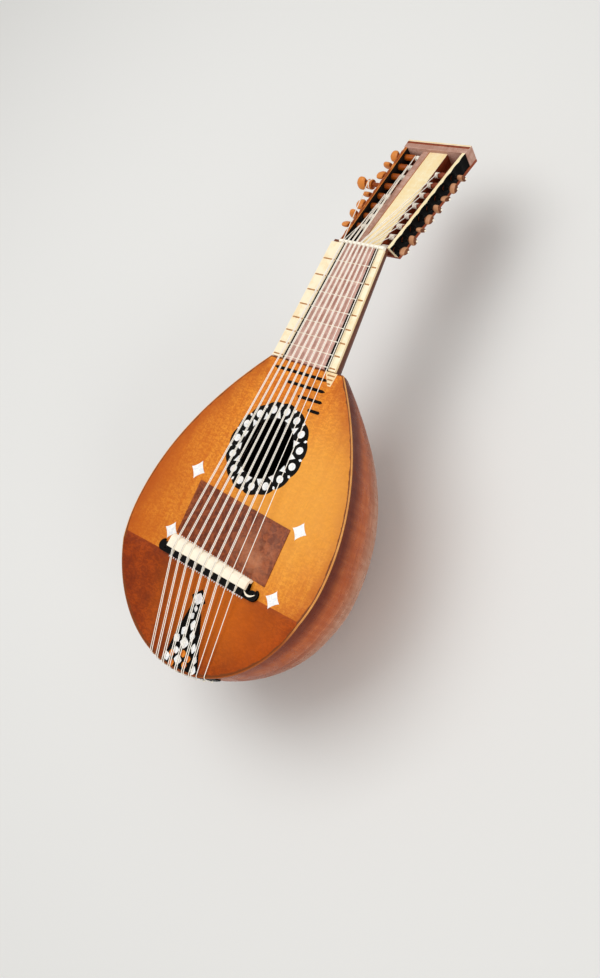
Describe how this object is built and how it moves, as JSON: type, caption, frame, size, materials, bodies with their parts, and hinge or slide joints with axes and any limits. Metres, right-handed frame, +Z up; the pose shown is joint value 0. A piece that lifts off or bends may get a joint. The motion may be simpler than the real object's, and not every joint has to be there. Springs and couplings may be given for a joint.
{
  "type": "mandolone",
  "caption": "Large bowl-backed plucked instrument with a folded soundboard, inlaid rosette, fretted neck, gut courses and a slotted pegbox with turning side pegs.",
  "frame": {"origin": "under the middle of the whole instrument, at its lowest point, with the instrument lying on its bowl", "axes": "+X from the bass side to the treble side, +Y from the tail to the head, +Z up out of the soundboard"},
  "size_m": [0.423, 0.9688, 0.2486],
  "materials": {
    "soundboard_spruce": "varnished",
    "rib_maple": "varnished",
    "walnut": "varnished",
    "ebony": "polished",
    "boxwood": "oiled",
    "pale_maple": "oiled",
    "plain_wood": "raw",
    "bone": "polished",
    "pearl": "iridescent",
    "tortoiseshell": "polished",
    "gut": "smooth"
  },
  "bodies": {
    "body": {"rib_01": "rib_maple", "rib_02": "rib_maple", "rib_03": "rib_maple", "rib_04": "rib_maple", "rib_05": "rib_maple", "rib_06": "rib_maple", "rib_07": "rib_maple", "rib_08": "rib_maple", "rib_09": "rib_maple", "rib_10": "rib_maple", "rib_11": "rib_maple", "soundboard": "soundboard_spruce", "rosette_ring": "ebony", "pickguard": "tortoiseshell", "tail_inlay": "ebony", "bridge": "ebony", "bridge_saddle": "bone", "soundboard_bar_upper": "plain_wood", "soundboard_bar_middle": "plain_wood", "soundboard_bar_lower": "plain_wood", "neck_block": "plain_wood", "tail_block": "plain_wood", "neck": "walnut", "fingerboard": "walnut", "nut": "bone", "board_fret_09": "ebony", "board_fret_10": "ebony", "board_fret_11": "ebony", "board_fret_12": "ebony", "pegbox_spine": "pale_maple", "pegbox_cheek_treble": "pale_maple", "pegbox_cheek_bass": "pale_maple", "pegbox_back": "walnut", "pegbox_end_block": "boxwood", "end_clasp": "ebony", "course_1": "gut", "course_2": "gut", "course_3": "gut", "course_4": "gut", "course_5": "gut", "course_6": "gut", "course_7": "gut", "course_8": "gut", "course_9": "gut"},
    "peg_treble_1": {"peg_treble_1": "boxwood"},
    "peg_treble_2": {"peg_treble_2": "boxwood"},
    "peg_treble_3": {"peg_treble_3": "boxwood"},
    "peg_treble_4": {"peg_treble_4": "boxwood"},
    "peg_treble_5": {"peg_treble_5": "boxwood"},
    "peg_treble_6": {"peg_treble_6": "boxwood"},
    "peg_treble_7": {"peg_treble_7": "boxwood"},
    "peg_treble_8": {"peg_treble_8": "boxwood"},
    "peg_bass_1": {"peg_bass_1": "boxwood"},
    "peg_bass_2": {"peg_bass_2": "boxwood"},
    "peg_bass_3": {"peg_bass_3": "boxwood"},
    "peg_bass_4": {"peg_bass_4": "boxwood"},
    "peg_bass_5": {"peg_bass_5": "boxwood"},
    "peg_bass_6": {"peg_bass_6": "boxwood"},
    "peg_bass_7": {"peg_bass_7": "boxwood"},
    "peg_bass_8": {"peg_bass_8": "boxwood"}
  },
  "joints": [
    {"name": "peg_treble_1_turn", "type": "hinge", "parent": "body", "child": "peg_treble_1", "pos_m": [0.05392, 0.26255, 0.22225], "axis": [1, 0, 0], "continuous": true},
    {"name": "peg_treble_2_turn", "type": "hinge", "parent": "body", "child": "peg_treble_2", "pos_m": [0.05497, 0.28534, 0.21614], "axis": [1, 0, 0], "continuous": true},
    {"name": "peg_treble_3_turn", "type": "hinge", "parent": "body", "child": "peg_treble_3", "pos_m": [0.05602, 0.30814, 0.21003], "axis": [1, 0, 0], "continuous": true},
    {"name": "peg_treble_4_turn", "type": "hinge", "parent": "body", "child": "peg_treble_4", "pos_m": [0.05707, 0.33093, 0.20393], "axis": [1, 0, 0], "continuous": true},
    {"name": "peg_treble_5_turn", "type": "hinge", "parent": "body", "child": "peg_treble_5", "pos_m": [0.05812, 0.35373, 0.19782], "axis": [1, 0, 0], "continuous": true},
    {"name": "peg_treble_6_turn", "type": "hinge", "parent": "body", "child": "peg_treble_6", "pos_m": [0.05917, 0.37653, 0.19171], "axis": [1, 0, 0], "continuous": true},
    {"name": "peg_treble_7_turn", "type": "hinge", "parent": "body", "child": "peg_treble_7", "pos_m": [0.06022, 0.39932, 0.1856], "axis": [1, 0, 0], "continuous": true},
    {"name": "peg_treble_8_turn", "type": "hinge", "parent": "body", "child": "peg_treble_8", "pos_m": [0.06127, 0.42212, 0.17949], "axis": [1, 0, 0], "continuous": true},
    {"name": "peg_bass_1_turn", "type": "hinge", "parent": "body", "child": "peg_bass_1", "pos_m": [-0.05546, 0.29587, 0.21332], "axis": [-1, 0, 0], "continuous": true},
    {"name": "peg_bass_2_turn", "type": "hinge", "parent": "body", "child": "peg_bass_2", "pos_m": [-0.05649, 0.31828, 0.20732], "axis": [-1, 0, 0], "continuous": true},
    {"name": "peg_bass_3_turn", "type": "hinge", "parent": "body", "child": "peg_bass_3", "pos_m": [-0.05752, 0.34069, 0.20131], "axis": [-1, 0, 0], "continuous": true},
    {"name": "peg_bass_4_turn", "type": "hinge", "parent": "body", "child": "peg_bass_4", "pos_m": [-0.05855, 0.3631, 0.19531], "axis": [-1, 0, 0], "continuous": true},
    {"name": "peg_bass_5_turn", "type": "hinge", "parent": "body", "child": "peg_bass_5", "pos_m": [-0.05959, 0.38551, 0.1893], "axis": [-1, 0, 0], "continuous": true},
    {"name": "peg_bass_6_turn", "type": "hinge", "parent": "body", "child": "peg_bass_6", "pos_m": [-0.06062, 0.40792, 0.1833], "axis": [-1, 0, 0], "continuous": true},
    {"name": "peg_bass_7_turn", "type": "hinge", "parent": "body", "child": "peg_bass_7", "pos_m": [-0.06165, 0.43033, 0.17729], "axis": [-1, 0, 0], "continuous": true},
    {"name": "peg_bass_8_turn", "type": "hinge", "parent": "body", "child": "peg_bass_8", "pos_m": [-0.06268, 0.45274, 0.17129], "axis": [-1, 0, 0], "continuous": true}
  ]
}
